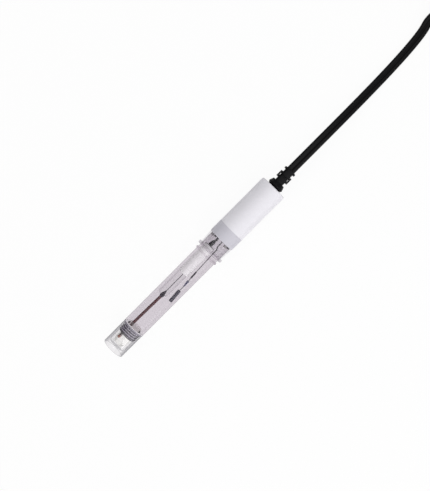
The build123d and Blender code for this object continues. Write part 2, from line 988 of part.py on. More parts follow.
electrode = {
    "tip_cap": tip_cap,
    "cap_seal": cap_seal,
    "threaded_nose": threaded_nose,
    "junction_ring": junction_ring,
    "glass_bulb": glass_bulb,
    "bulb_plug": bulb_plug,
    "inner_tip": inner_tip,
    "inner_rod": inner_rod,
    "rod_seal": rod_seal,
    "inner_tube": inner_tube,
    "inner_wire": inner_wire,
    "white_sleeve": white_sleeve,
    "lead_boot": lead_boot,
    "core_lead": core_lead,
    "reference_element": reference_element,
    "reference_wire": reference_wire,
    "wire_clip": wire_clip,
    "shrink_sleeve": shrink_sleeve,
    "reference_lead": reference_lead,
    "stem_tube": stem_tube,
    "stem_plug": stem_plug,
    "collar": collar,
    "collar_pins": collar_pins,
    "head_base": head_base,
    "head_cap": head_cap,
    "strain_relief": strain_relief,
}
lead = {
    "cord_run": cord_run,
    "cord_hank": cord_hank,
    "cord_tie": cord_tie,
    "cord_tail": cord_tail,
    "lead_yoke": lead_yoke,
    "ph_lead": ph_lead,
    "temp_lead": temp_lead,
    "plug_boot": plug_boot,
    "plug_body": plug_body,
    "plug_sleeve": plug_sleeve,
    "snap_ring": snap_ring,
    "plug_insulator": plug_insulator,
    "plug_pin": plug_pin,
    "phone_grip": phone_grip,
    "phone_shank": phone_shank,
}

os.makedirs("parts", exist_ok=True)
for name, make in electrode.items():
    export_step(laid(make()), f"parts/{name}.step")
for name, make in lead.items():
    export_step(make(), f"parts/{name}.step")
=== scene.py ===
import json
from math import asin, cos, pi, radians, sin, tau

import bmesh
import bpy
from mathutils import Matrix, Vector


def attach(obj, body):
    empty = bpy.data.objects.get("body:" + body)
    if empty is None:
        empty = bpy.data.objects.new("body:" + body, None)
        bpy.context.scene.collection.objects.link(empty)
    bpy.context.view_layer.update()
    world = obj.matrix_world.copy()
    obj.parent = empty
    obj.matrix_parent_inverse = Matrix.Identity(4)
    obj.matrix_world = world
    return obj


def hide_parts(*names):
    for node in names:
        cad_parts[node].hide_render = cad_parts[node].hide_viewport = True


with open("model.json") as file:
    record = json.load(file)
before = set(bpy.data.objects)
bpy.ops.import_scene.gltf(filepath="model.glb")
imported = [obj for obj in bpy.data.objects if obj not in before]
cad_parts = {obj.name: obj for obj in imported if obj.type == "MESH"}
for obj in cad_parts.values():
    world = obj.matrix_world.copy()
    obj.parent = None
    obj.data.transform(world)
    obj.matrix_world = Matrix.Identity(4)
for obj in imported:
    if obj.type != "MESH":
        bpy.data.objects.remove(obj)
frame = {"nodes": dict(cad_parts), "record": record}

bl_info = {
    "name": "pH electrode",
    "version": (1, 0, 0),
    "blender": (4, 5, 0),
    "location": "View3D > Sidebar > Electrode",
    "description": "Dresses the solids of a combination pH electrode with its flat twin lead",
    "category": "Object",
}

MM = 0.001
NODES = frame["nodes"]

# The electrode's own axes: X runs from the cap's end face to the head. The stem's mount gives their place.
STEM_MOUNT_X = 53.5 * MM
STEM = next(m for m in frame["record"]["mounts"] if m["name"] == "stem")
AXIS = -Vector(STEM["axis"]).normalized()
SIDE = Vector((0, 1, 0))
UP = AXIS.cross(SIDE)
ORIGIN = Vector(STEM["pos_m"]) - AXIS * STEM_MOUNT_X
LAID = Matrix((
    (AXIS.x, SIDE.x, UP.x, ORIGIN.x),
    (AXIS.y, SIDE.y, UP.y, ORIGIN.y),
    (AXIS.z, SIDE.z, UP.z, ORIGIN.z),
    (0, 0, 0, 1),
))

# The bodies that new pieces ride on
ELECTRODE, CAP = "electrode", "cap"


def linear(hexcode):
    """A hex colour, which is sRGB, as the linear values that a shader takes."""
    parts = [int(hexcode[i:i + 2], 16) / 255 for i in (1, 3, 5)]
    return tuple(c / 12.92 if c <= 0.04045 else ((c + 0.055) / 1.055) ** 2.4 for c in parts)


def length(name, description, millimetres):
    return bpy.props.FloatProperty(
        name=name, description=description, default=millimetres * MM, min=0, precision=5,
        subtype="DISTANCE", unit="LENGTH",
    )


def colour(name, description, hexcode):
    return bpy.props.FloatVectorProperty(
        name=name, description=description, default=linear(hexcode), size=3, min=0, max=1, subtype="COLOR",
    )


class ThreadSizes(bpy.types.PropertyGroup):
    pitch: length("Pitch", "How far the cap travels in one turn", 1.5)
    crest: length("Crest radius", "Radius over the nose's thread", 6.65)
    depth: length("Depth", "Height of the nose's thread", 0.72)
    gap: length("Clearance", "Gap between the cap's thread and the nose's", 0.1)


class LeadSizes(bpy.types.PropertyGroup):
    strand: length("Strand radius", "Radius of each of the two strands", 1.525)
    web: length("Web", "Thickness of the web between the strands", 1.5)


class Finishes(bpy.types.PropertyGroup):
    clear: colour("Clear plastic", "Tint of the cap, stem and collar", "#F5F3F5")
    smoke: colour("Threaded nose", "Smoke grey plastic under the cap's thread", "#2A2532")
    # The thread's root colour is a painted highlight, for the bright stripes along the thread.
    thin: colour("Thread's root", "The same plastic where it is thin", "#A8A1B1")
    rod: colour("Inner rod", "Maroon rod of the inner electrode", "#54292F")
    tip: colour("Sensing tip", "Orange-brown end of the rod", "#A85030")
    grey: colour("Head base", "Grey band of the head", "#C8C6CF")
    white: colour("Head shell", "White shell of the head", "#E6E4EA")
    black: colour("Rubber and sheath", "Black of the strain relief and the lead", "#09080B")


class StageSizes(bpy.types.PropertyGroup):
    key: bpy.props.FloatProperty(
        name="Key light", description="Power of the soft box", default=3.2, min=0, subtype="POWER", unit="POWER",
    )
    world: bpy.props.FloatProperty(name="World", description="Strength of the even light", default=0.4, min=0)


# Materials


def add(tree, kind, values=None, links=None, **settings):
    """A node of that kind, with settings, values on its sockets and links into them."""
    node = tree.nodes.new(kind)
    for name, value in settings.items():
        setattr(node, name, value)
    for name, value in (values or {}).items():
        node.inputs[name].default_value = value
    for name, source in (links or {}).items():
        tree.links.new(source, node.inputs[name])
    return node


def surface(name, base, roughness, **sockets):
    """A material with one Principled shader. Returns it, its tree and the shader."""
    material = bpy.data.materials.new(name)
    material.use_nodes = True
    tree = material.node_tree
    shader = tree.nodes["Principled BSDF"]
    shader.inputs["Base Color"].default_value = (*base, 1)
    shader.inputs["Roughness"].default_value = roughness
    for socket, value in sockets.items():
        shader.inputs[socket.replace("_", " ")].default_value = value
    return material, tree, shader


def grain(tree, shader, size, height, detail=3.0, stretch=(1, 1, 1), bump_only=False):
    """A bump of that grain size and height in metres, from noise in the piece's own place.

    Returns the noise node, or with bump_only the bump's normal."""
    place = add(tree, "ShaderNodeTexCoord")
    mapping = add(tree, "ShaderNodeMapping", {"Scale": stretch}, {"Vector": place.outputs["Object"]})
    noise = add(
        tree, "ShaderNodeTexNoise", {"Scale": 1 / size, "Detail": detail},
        {"Vector": mapping.outputs["Vector"]},
    )
    bump = add(
        tree, "ShaderNodeBump", {"Strength": 1.0, "Distance": height}, {"Height": noise.outputs["Fac"]},
    )
    tree.links.new(bump.outputs["Normal"], shader.inputs["Normal"])
    return bump.outputs["Normal"] if bump_only else noise


def mottle(tree, shader, source, dark, light, low=0.35, high=0.65):
    """Colour that goes between two shades with a noise."""
    ramp = add(tree, "ShaderNodeValToRGB", links={"Fac": source})
    ramp.color_ramp.elements[0].position = low
    ramp.color_ramp.elements[1].position = high
    ramp.color_ramp.elements[0].color = (*dark, 1)
    ramp.color_ramp.elements[1].color = (*light, 1)
    tree.links.new(ramp.outputs["Color"], shader.inputs["Base Color"])


def scaled(base, factor):
    """A colour made darker or lighter."""
    return tuple(min(1.0, c * factor) for c in base)


def on_axis(tree):
    """A socket with the place in the electrode's own axes, in metres."""
    place = add(tree, "ShaderNodeTexCoord")
    return add(
        tree, "ShaderNodeMapping", {"Location": ORIGIN, "Rotation": LAID.to_euler()},
        {"Vector": place.outputs["Object"]}, vector_type="TEXTURE",
    ).outputs["Vector"]


def from_axis(tree):
    """A socket with the distance from the electrode's axis, in metres."""
    across = add(tree, "ShaderNodeVectorMath", {1: (0, 1, 1)}, {0: on_axis(tree)}, operation="MULTIPLY")
    return add(tree, "ShaderNodeVectorMath", links={0: across.outputs["Vector"]}, operation="LENGTH").outputs["Value"]


# What a clear wall lets through of the light on what is inside, and the painted shade on the view through a bead or
# flange
LIT_SHARE = 0.985
RIM_SHADE = (0.88, 0.86, 0.88)


def clear_skin(name, tint, edge, gloss=0.04, ior=1.49, wave=0.012 * MM, shines=1.0, edge_from=0.55,
               beyond=0.0, inner_shine=0.0, rim=1.0):
    """A clear wall that is seen straight through.

    Liquid or a bonded piece lies behind it, so what is inside shows without a bend. It has its tint where it faces
    the eye and the edge colour where it is seen edge on, both only beyond that radius from the electrode's axis, so
    a tube's bore adds none. The edge colour is painted shade, for the dark bands that a bend gives where a clear
    wall is seen edge on. Past the rim's radius it is a little darker: painted shade, as where a bead or flange is
    seen through its depth. Its outer side reflects, times shines, and inner_shine is the share of light that a wall
    with air behind it sends back from inside."""
    material = bpy.data.materials.new(name)
    material.use_nodes = True
    tree = material.node_tree
    tree.nodes.clear()
    shine = add(tree, "ShaderNodeBsdfGlossy", {"Color": (1, 1, 1, 1), "Roughness": gloss})
    normal = grain(tree, shine, 6 * MM, wave, detail=1.0, stretch=(0.3, 1, 1), bump_only=True)
    fresnel = add(tree, "ShaderNodeFresnel", {"IOR": ior}, {"Normal": normal})
    backfacing = add(tree, "ShaderNodeNewGeometry").outputs["Backfacing"]
    outside = add(tree, "ShaderNodeMath", {0: 1.0}, {1: backfacing}, operation="SUBTRACT")
    share = add(tree, "ShaderNodeMath", links={0: fresnel.outputs[0], 1: outside.outputs[0]}, operation="MULTIPLY")
    share = add(tree, "ShaderNodeMath", {1: shines}, {0: share.outputs[0]}, operation="MULTIPLY", use_clamp=True)
    share = add(
        tree, "ShaderNodeMath", {1: inner_shine}, {0: backfacing, 2: share.outputs[0]}, operation="MULTIPLY_ADD",
    )
    facing = add(tree, "ShaderNodeLayerWeight", {"Blend": 0.5})
    ramp = add(tree, "ShaderNodeValToRGB", links={"Fac": facing.outputs["Facing"]})
    ramp.color_ramp.elements[0].position = edge_from
    ramp.color_ramp.elements[0].color = (*tint, 1)
    ramp.color_ramp.elements[1].color = (*edge, 1)
    skin = add(tree, "ShaderNodeMath", {1: beyond}, {0: from_axis(tree)}, operation="GREATER_THAN")
    tinted = add(
        tree, "ShaderNodeMix", {6: (1, 1, 1, 1)}, {0: skin.outputs[0], 7: ramp.outputs["Color"]}, data_type="RGBA",
    )
    raised = add(tree, "ShaderNodeMath", {1: rim}, {0: from_axis(tree)}, operation="GREATER_THAN")
    deeper = add(
        tree, "ShaderNodeMix", {7: (*RIM_SHADE, 1)}, {0: raised.outputs[0], 6: tinted.outputs[2]},
        data_type="RGBA", blend_type="MULTIPLY",
    )
    through = add(tree, "ShaderNodeBsdfTransparent", links={"Color": deeper.outputs[2]})
    mix = add(
        tree, "ShaderNodeMixShader",
        links={0: share.outputs[0], 1: through.outputs["BSDF"], 2: shine.outputs["BSDF"]},
    )
    # Light reaches what is inside at nearly its full strength.
    lit = add(tree, "ShaderNodeBsdfTransparent", {"Color": (LIT_SHARE, LIT_SHARE, LIT_SHARE, 1)})
    path = add(tree, "ShaderNodeLightPath")
    lights = add(
        tree, "ShaderNodeMath", operation="MAXIMUM",
        links={0: path.outputs["Is Shadow Ray"], 1: path.outputs["Is Diffuse Ray"]},
    )
    mix = add(
        tree, "ShaderNodeMixShader",
        links={0: lights.outputs[0], 1: mix.outputs["Shader"], 2: lit.outputs["BSDF"]},
    )
    add(tree, "ShaderNodeOutputMaterial", links={"Surface": mix.outputs["Shader"]})
    return material


def moulded(name, base, roughness=0.4, size=0.25 * MM, height=0.006 * MM, **sockets):
    """A plastic moulded in an etched steel tool: an even fine grain, and a colour that hardly varies."""
    material, tree, shader = surface(name, base, roughness, **sockets)
    noise = grain(tree, shader, size, height)
    mottle(tree, shader, noise.outputs["Fac"], scaled(base, 0.94), scaled(base, 1.04))
    return material


def metal(name, hexcode, roughness, size=0.4 * MM, height=0.003 * MM, stretch=(1, 1, 1)):
    """A drawn, turned or plated metal: its roughness varies a little with wear."""
    material, tree, shader = surface(name, linear(hexcode), roughness, Metallic=1.0)
    noise = grain(tree, shader, size, height, stretch=stretch)
    wear = add(
        tree, "ShaderNodeMapRange", {"To Min": roughness * 0.8, "To Max": roughness * 1.3},
        {"Value": noise.outputs["Fac"]},
    )
    tree.links.new(wear.outputs["Result"], shader.inputs["Roughness"])
    return material


# Plasticised PVC reflects less than the plain plastic, because its skin is oily and slightly rough.
DULL = {"Specular_IOR_Level": 0.12}


def dress(material, *names):
    """The material takes every slot of those CAD nodes."""
    for name in names:
        mesh = NODES[name].data
        mesh.materials.clear()
        mesh.materials.append(material)


# Meshes

SEGMENTS = 96


def smooth_object(name, bm, material, sharp=35):
    """An object from a bmesh, with smooth faces and its edges above that angle left sharp."""
    bmesh.ops.recalc_face_normals(bm, faces=bm.faces)
    mesh = bpy.data.meshes.new(name)
    bm.to_mesh(mesh)
    bm.free()
    mesh.shade_smooth()
    mesh.set_sharp_from_angle(angle=radians(sharp))
    mesh.materials.append(material)
    obj = bpy.data.objects.new(name, mesh)
    bpy.context.scene.collection.objects.link(obj)
    return obj


def between_rings(bm, rings, closed=False, ends=False):
    """Faces between rings of vertices. closed joins the last ring to the first, and ends fills both ends."""
    count = len(rings[0])
    pairs = list(zip(rings, rings[1:])) + ([(rings[-1], rings[0])] if closed else [])
    for low, high in pairs:
        for i in range(count):
            j = (i + 1) % count
            bm.faces.new((low[i], low[j], high[j], high[i]))
    if ends:
        bm.faces.new(list(reversed(rings[0])))
        bm.faces.new(rings[-1])


def turned(name, rows, material, sharp=35):
    """A closed piece turned about the electrode's axis. Each row is (station, radius), in metres.

    The radius may be a function of the angle, as on a thread."""
    bm = bmesh.new()
    rings = []
    for x, radius in rows:
        ring = []
        for i in range(SEGMENTS):
            angle = tau * i / SEGMENTS
            r = radius(angle) if callable(radius) else radius
            ring.append(bm.verts.new(LAID @ Vector((x, r * cos(angle), r * sin(angle)))))
        rings.append(ring)
    between_rings(bm, rings, closed=True)
    return smooth_object(name, bm, material, sharp)


def rounded(corners, steps=6):
    """An outline with its corners rounded. Each corner is (station, radius, rounding)."""
    points = []
    for i, (x, r, rounding) in enumerate(corners):
        if not rounding:
            points.append((x, r))
            continue
        here = Vector((x, r))
        before = (Vector(corners[i - 1][:2]) - here).normalized()
        after = (Vector(corners[(i + 1) % len(corners)][:2]) - here).normalized()
        half = before.angle(after) / 2
        reach = rounding / (sin(half) / cos(half))
        centre = here + (before + after).normalized() * (rounding / sin(half))
        start, end = here + before * reach - centre, here + after * reach - centre
        turn = start.angle(end)
        for k in range(steps + 1):
            share = k / steps
            arm = (start * sin((1 - share) * turn) + end * sin(share * turn)) / sin(turn)
            points.append(tuple(centre + arm))
    return points


def tube(name, points, section, roll, material):
    """A mesh that carries a closed section along points. roll(distance) turns the section about the run."""
    distances = [0.0]
    for a, b in zip(points, points[1:]):
        distances.append(distances[-1] + (b - a).length)
    bm = bmesh.new()
    rings = []
    last = len(points) - 1
    for i, (point, distance) in enumerate(zip(points, distances)):
        tangent = (points[min(i + 1, last)] - points[max(i - 1, 0)]).normalized()
        across = Vector((0, 0, 1)).cross(tangent).normalized()
        above = tangent.cross(across)
        turn = roll(distance)
        wide = across * cos(turn) + above * sin(turn)
        high = above * cos(turn) - across * sin(turn)
        rings.append([bm.verts.new(point + wide * u + high * v) for u, v in section])
    between_rings(bm, rings, ends=True)
    return smooth_object(name, bm, material, 70)


def spline_points(name, corners, resolution=10):
    """The points that a route's smooth line passes through. The corners are its control points."""
    curve = bpy.data.curves.new(name, "CURVE")
    curve.dimensions = "3D"
    spline = curve.splines.new("NURBS")
    spline.points.add(len(corners) - 1)
    for point, corner in zip(spline.points, corners):
        point.co = (*corner, 1)
    spline.order_u = 3
    spline.use_endpoint_u = True
    curve.resolution_u = resolution
    route = bpy.data.objects.new(name, curve)
    bpy.context.scene.collection.objects.link(route)
    mesh = bpy.data.meshes.new_from_object(route)
    points = [v.co.copy() for v in mesh.vertices]
    bpy.data.objects.remove(route)
    bpy.data.curves.remove(curve)
    bpy.data.meshes.remove(mesh)
    return points


def run(points):
    """How long a line through the points is."""
    return sum((b - a).length for a, b in zip(points, points[1:]))


# Cap and nose, as distances along the axis in metres

CAP_LENGTH = 18.7 * MM
CAP_RADIUS = 7.9 * MM
CAP_EDGE = 0.65 * MM
CAP_END_WALL = 3.0 * MM
CAVITY_RADIUS, CAVITY_CORNER = 6.3 * MM, 2.5 * MM
NOSE_X = 12.55 * MM
NOSE_BORE = 5.52 * MM
SEAL_FACE_X = 20.0 * MM
THREAD_STEP = 0.1 * MM
# The plug's bore lies within this radius and its outer wall beyond it.
PLUG_WALL = 3.5 * MM
# How much the plug's near side covers what is behind it
PLUG_ALPHA = 0.15
# Strength of the light that the seal's face and the plug's far side give off
SEAL_GLOW, PLUG_GLOW = 0.2, 0.4


def thread_profile(share):
    """The thread's height, from 0 to 1, at that share of the pitch: a rounded crest on sloping flanks."""
    off = abs((share + 0.5) % 1 - 0.5) * 2
    slope = min(1.0, max(0.0, (0.78 - off) / 0.5))
    return slope * slope * (3 - 2 * slope)


def thread_rows(low, high, root, depth, pitch, fade_low, fade_high):
    """Rows of a right-hand thread. It fades to its root over a stretch at each end."""
    rows = []
    count = round((high - low) / THREAD_STEP)
    for i in range(count + 1):
        x = low + (high - low) * i / count
        fade = min(1.0, (x - low) / fade_low if fade_low else 1.0, (high - x) / fade_high if fade_high else 1.0)
        rows.append((x, lambda angle, x=x, fade=fade: root + depth * fade * thread_profile(x / pitch - angle / tau)))
    return rows


def seal_with_painted_face():
    """EPDM rubber, moulded and cleaned of flash: violet grey, with a soft shine.

    Its face against the stem is painted white, as painted light for the bright view through the stem's end, so its
    grey doesn't show there. The face also gives off a little light, because hardly any reaches it through the clear
    layers in front of it."""
    rubber, film = linear("#8B8692"), linear("#F2F0F2")
    material, tree, shader = surface("epdm_painted_face", rubber, 0.35)
    grain(tree, shader, 0.15 * MM, 0.004 * MM)
    parts = add(tree, "ShaderNodeSeparateXYZ", links={"Vector": on_axis(tree)})
    face = add(tree, "ShaderNodeMath", {1: SEAL_FACE_X}, {0: parts.outputs["X"]}, operation="GREATER_THAN")
    painted_face_colour = add(
        tree, "ShaderNodeMix", {6: (*rubber, 1), 7: (*film, 1)}, {0: face.outputs[0]}, data_type="RGBA",
    )
    tree.links.new(painted_face_colour.outputs[2], shader.inputs["Base Color"])
    glow = add(tree, "ShaderNodeMath", {1: SEAL_GLOW}, {0: face.outputs[0]}, operation="MULTIPLY")
    shader.inputs["Emission Color"].default_value = (*film, 1)
    tree.links.new(glow.outputs[0], shader.inputs["Emission Strength"])
    return material


def milky_silicone():
    """Silicone rubber, cast. The rod shows through its near side, and its far side is milky.

    The far side gives off a little light, because hardly any reaches it through the clear layers round it."""
    material, tree, shader = surface("silicone_rubber", linear("#B8B4B6"), 0.6)
    grain(tree, shader, 0.25 * MM, 0.006 * MM)
    back = add(tree, "ShaderNodeNewGeometry").outputs["Backfacing"]
    wall = add(tree, "ShaderNodeMath", {1: PLUG_WALL}, {0: from_axis(tree)}, operation="GREATER_THAN").outputs[0]
    far = add(tree, "ShaderNodeMath", links={0: back, 1: wall}, operation="MULTIPLY").outputs[0]
    milk = add(
        tree, "ShaderNodeMath", {1: 1 - PLUG_ALPHA, 2: PLUG_ALPHA}, {0: far}, operation="MULTIPLY_ADD",
    )
    tree.links.new(milk.outputs[0], shader.inputs["Alpha"])
    glow = add(tree, "ShaderNodeMath", {1: PLUG_GLOW}, {0: far}, operation="MULTIPLY")
    shader.inputs["Emission Color"].default_value = (*linear("#F4EEF2"), 1)
    tree.links.new(glow.outputs[0], shader.inputs["Emission Strength"])
    return material


def wet_polycarbonate(name, base):
    """Polycarbonate, moulded in a polished tool and wet: its thread shows as clean bright stripes."""
    material, tree, shader = surface(name, base, 0.32, IOR=1.58, Specular_IOR_Level=1.0)
    grain(tree, shader, 1.5 * MM, 0.002 * MM)
    return material


class ELECTRODE_OT_screw_cap(bpy.types.Operator):
    """Makes the clear screw cap with the thread in its mouth, and finishes its seal and the glass bulb"""

    bl_idname = "electrode.screw_cap"
    bl_label = "Screw cap"

    def execute(self, context):
        thread, finish = context.scene.electrode_thread, context.scene.electrode_finishes
        # Acrylic, moulded clear: nearly colourless, with painted shade on its edges and a clean gloss.
        plastic = clear_skin("cap_acrylic", linear("#F4F3F4"), linear("#86848C"), edge_from=0.25)
        outside = rounded([
            (0, 0.2 * MM, 0),
            (0, CAP_RADIUS, CAP_EDGE),
            (CAP_LENGTH, CAP_RADIUS, CAP_EDGE / 2),
            (CAP_LENGTH, thread.crest + thread.gap, 0),
        ])
        root = thread.crest - thread.depth + thread.gap
        bore = thread_rows(NOSE_X, CAP_LENGTH, root, thread.depth, thread.pitch, 0, 0)
        inside = rounded([
            (NOSE_X - 0.1 * MM, CAVITY_RADIUS, 0),
            (CAP_END_WALL, CAVITY_RADIUS, CAVITY_CORNER),
            (CAP_END_WALL, 0.2 * MM, 0),
        ], 8)
        cap = turned("screw_cap", outside[:-1] + bore[::-1] + inside, plastic)
        threaded, over_nose, cavity = 1, 2, 3
        # The meshed threads are wet with the storage liquid, so the cap's own thread hardly shows.
        cap.data.materials.append(clear_skin("wet_thread_acrylic", (1, 1, 1), finish.clear, wave=0, shines=0))
        # The acrylic over the thread has painted shade towards its edges, which stands for the grey of the nose seen
        # through the bend of its wall.
        cap.data.materials.append(clear_skin(
            "shaded_acrylic", scaled(finish.clear, 1.05), linear("#45434B"), shines=3, edge_from=0.15,
        ))
        # The cavity's wall is wet too. It has painted shade as a darker line at its corner, and sends back a little
        # light.
        cap.data.materials.append(clear_skin(
            "wet_cavity_acrylic", (1, 1, 1), linear("#9C9AA2"), wave=0, shines=0, edge_from=0.6, inner_shine=0.22,
        ))
        first = len(outside[:-1])
        for polygon in cap.data.polygons:
            row = polygon.index // SEGMENTS
            if row == 0 or first <= row < first + len(bore):
                polygon.material_index = threaded
            elif row >= first + len(bore):
                polygon.material_index = cavity
            elif (polygon.center - ORIGIN).dot(AXIS) > NOSE_X:
                polygon.material_index = over_nose
        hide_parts("tip_cap")
        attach(cap, CAP)
        # Nitrile rubber, moulded: near black and matte.
        dress(moulded("nitrile_rubber", linear("#3A3340"), 0.6, 0.15 * MM, 0.002 * MM), "rod_seal")
        dress(seal_with_painted_face(), "cap_seal")
        # Lithium glass, blown: a thin clear bulb, with faint painted shade on its edges. It lies in liquid, which
        # takes most of the gloss off it.
        dress(
            clear_skin("lithium_glass", linear("#FCFCFB"), linear("#E2E0DE"), ior=1.53, wave=0, shines=0.11),
            "glass_bulb",
        )
        return {"FINISHED"}


class ELECTRODE_OT_nose(bpy.types.Operator):
    """Makes the smoke grey nose with its thread, and finishes the ceramic junction and the plug behind the bulb"""

    bl_idname = "electrode.nose"
    bl_label = "Threaded nose"

    def execute(self, context):
        thread, finish = context.scene.electrode_thread, context.scene.electrode_finishes
        root = thread.crest - thread.depth
        rows = thread_rows(NOSE_X, CAP_LENGTH, root, thread.depth, thread.pitch, 0.8 * MM, 0.3 * MM)
        nose = turned(
            "nose_thread", rows + [(CAP_LENGTH, NOSE_BORE), (NOSE_X, NOSE_BORE)],
            wet_polycarbonate("smoke_polycarbonate", finish.smoke),
        )
        thin, film = 1, 2
        # The thread's root is paler than the crest: a painted highlight, for the bright stripes along the thread.
        nose.data.materials.append(wet_polycarbonate("highlit_root_polycarbonate", finish.thin))
        # Painted light: a white film on the bore and the end, where they would lie in shade, so the stem looks empty
        # over it.
        nose.data.materials.append(moulded("bore_painted_light", linear("#FAF7F9"), 0.6))
        for polygon in nose.data.polygons:
            off = polygon.center - ORIGIN
            station = off.dot(AXIS)
            radius = (off - AXIS * station).length
            if radius < NOSE_BORE + 0.05 * MM or station > CAP_LENGTH - 0.02 * MM:
                polygon.material_index = film
            elif root - 0.02 * MM < radius < root + thread.depth / 2 and station > NOSE_X + 0.7 * MM:
                polygon.material_index = thin
        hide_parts("threaded_nose")
        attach(nose, ELECTRODE)
        dress(milky_silicone(), "bulb_plug")
        # Porous alumina, sintered: chalk white and matte.
        dress(moulded("porous_ceramic", linear("#D8D4CC"), 0.85, 0.12 * MM, 0.02 * MM), "junction_ring")
        return {"FINISHED"}


# Radii between the clear tubes' bores and their outer skins, and just past the plain stem and the collar's cone,
# where only the bead and the flange reach
STEM_SKIN, STEM_RIM = 7.5 * MM, 8.15 * MM
COLLAR_SKIN, COLLAR_RIM = 8.3 * MM, 9.45 * MM


class ELECTRODE_OT_stem(bpy.types.Operator):
    """Finishes the clear stem tube and collar, the pins in the collar and the resin plug"""

    bl_idname = "electrode.stem"
    bl_label = "Stem and collar"

    def execute(self, context):
        # Acrylic, drawn as a tube and full of gel: a faint violet grey, with hardly any gloss, and painted shade on
        # its edges and its bead.
        stem = clear_skin(
            "stem_acrylic", linear("#E8E4E8"), linear("#D8D4D8"), gloss=0.1, wave=0.003 * MM, shines=0.5,
            beyond=STEM_SKIN, rim=STEM_RIM,
        )
        dress(stem, "stem_tube")
        # Acrylic, moulded clear: paler than the stem, with painted shade on its edges and its flange.
        collar = clear_skin(
            "collar_acrylic", linear("#F1F0F2"), linear("#A09AA0"), wave=0, edge_from=0.85,
            beyond=COLLAR_SKIN, rim=COLLAR_RIM,
        )
        dress(collar, "collar")
        # ABS, moulded: grey pegs.
        dress(moulded("pin_abs", linear("#8C868A"), 0.5), "collar_pins")
        # Epoxy resin, cast: off-white, with a slightly uneven gloss.
        dress(moulded("cast_epoxy", linear("#CFC9C6"), 0.35, 1.5 * MM, 0.03 * MM), "stem_plug")
        return {"FINISHED"}


class ELECTRODE_OT_inner_electrode(bpy.types.Operator):
    """Finishes the rod with its sensing tip, the glass tube, the wire, the white sleeve and the boot with its lead"""

    bl_idname = "electrode.inner_electrode"
    bl_label = "Inner electrode"

    def execute(self, context):
        finish = context.scene.electrode_finishes
        # PVC, extruded: satin, with faint lines along it.
        rod, tree, shader = surface("extruded_pvc", finish.rod, 0.35)
        noise = grain(tree, shader, 0.3 * MM, 0.002 * MM, stretch=(0.05, 1, 1))
        mottle(tree, shader, noise.outputs["Fac"], scaled(finish.rod, 0.8), scaled(finish.rod, 1.15))
        dress(rod, "inner_rod")
        # Silver chloride, fused on: orange-brown, matte and rough.
        dress(moulded("silver_chloride", finish.tip, 0.5, 0.2 * MM, 0.02 * MM), "inner_tip")
        # Soda glass, drawn: clear in the gel, with faint painted shade on its edges.
        dress(
            clear_skin("drawn_glass", linear("#FEFEFE"), linear("#D2D0D4"), ior=1.52, wave=0, shines=0.11),
            "inner_tube",
        )
        # Silver wire, drawn and left to tarnish in the gel: dark grey.
        dress(metal("tarnished_silver", "#55535A", 0.45), "inner_wire")
        # Lacquered wire: near black and smooth.
        dress(moulded("wire_lacquer", linear("#2C2B33"), 0.4), "reference_wire")
        # Polyethylene film sleeve: milky, light comes through it.
        film, tree, shader = surface("polyethylene_film", linear("#FDFCFD"), 0.4, Alpha=0.93)
        grain(tree, shader, 1.2 * MM, 0.006 * MM, stretch=(0.2, 1, 1))
        dress(film, "white_sleeve")
        # Soft PVC, dipped and shrunk: black with a hint of violet, and dull.
        black = moulded("pvc_boot", linear("#2A2230"), 0.5, **DULL)
        dress(black, "lead_boot", "core_lead", "shrink_sleeve", "reference_lead")
        return {"FINISHED"}


class ELECTRODE_OT_reference(bpy.types.Operator):
    """Finishes the reference element and the clip on its wire"""

    bl_idname = "electrode.reference"
    bl_label = "Reference electrode"

    def execute(self, context):
        # Sintered silver chloride: dark grey, matte and slightly porous.
        dress(moulded("sintered_element", linear("#4E4B58"), 0.7, 0.25 * MM, 0.004 * MM, **DULL), "reference_element")
        # Nylon, moulded: a smooth blue grey.
        dress(moulded("clip_nylon", linear("#5A5A76"), 0.4), "wire_clip")
        return {"FINISHED"}


class ELECTRODE_OT_head(bpy.types.Operator):
    """Finishes the grey band and the white shell of the head"""

    bl_idname = "electrode.head"
    bl_label = "Head"

    def execute(self, context):
        finish = context.scene.electrode_finishes
        # ABS, moulded in a finely etched tool: an even satin with soft highlights.
        for name, base, node in (("grey_abs", finish.grey, "head_base"), ("white_abs", finish.white, "head_cap")):
            dress(moulded(name, base, 0.42, 0.3 * MM, 0.004 * MM, Specular_IOR_Level=0.35), node)
        return {"FINISHED"}


class ELECTRODE_OT_strain_relief(bpy.types.Operator):
    """Finishes the black slotted strain relief"""

    bl_idname = "electrode.strain_relief"
    bl_label = "Strain relief"

    def execute(self, context):
        finish = context.scene.electrode_finishes
        # Soft PVC, moulded over the lead: black, with a dull shine on its edges.
        dress(moulded("soft_pvc", finish.black, 0.38, 0.2 * MM, 0.01 * MM, **DULL), "strain_relief")
        return {"FINISHED"}


# Route of the lead, in millimetres. X is counted from the cap's end face and height from the surface.

STRAND = 1.525
LYING = STRAND + 0.06
EXIT_RUN = 18.0
RELIEF_END_X = 165.22
RUN_POINTS = (
    (40.0, 0.0, 10.6),
    (64.0, 0.1, 6.3),
    (88.0, 0.5, 2.7),
    (110.0, 1.5, LYING + 0.1),
    (125.0, 3.2, LYING),
)
HANK_X, HANK_Y = 350.3, -11.5
HANK_REACH, HANK_LOOP, HANK_FILLET = 30.0, 19.0, 15.0
HANK_ENTRY, HANK_EXIT = 16.0, 12.0
# Just before the hank the lead is still lower and a little to the front, and it is level to this far past it.
ENTRY_RUN, ENTRY_SHIFT, ENTRY_HEIGHT = 8.0, 0.6, 2.3
# The twin lead has turned on edge this far into the hank, over that stretch, and lies flat again between those
# distances from its end.
ON_EDGE_FROM, TURN_RUN = 6.0, 20.0
FLAT_FROM, FLAT_TO = 34.0, 4.0
TAIL_POINTS = ((404.3, 5.4, 8.3), (417.3, 3.4, 5.2))
YOKE_START, YOKE_LENGTH, YOKE_HEIGHT = (429.3, 1.0), 14.0, 7.0
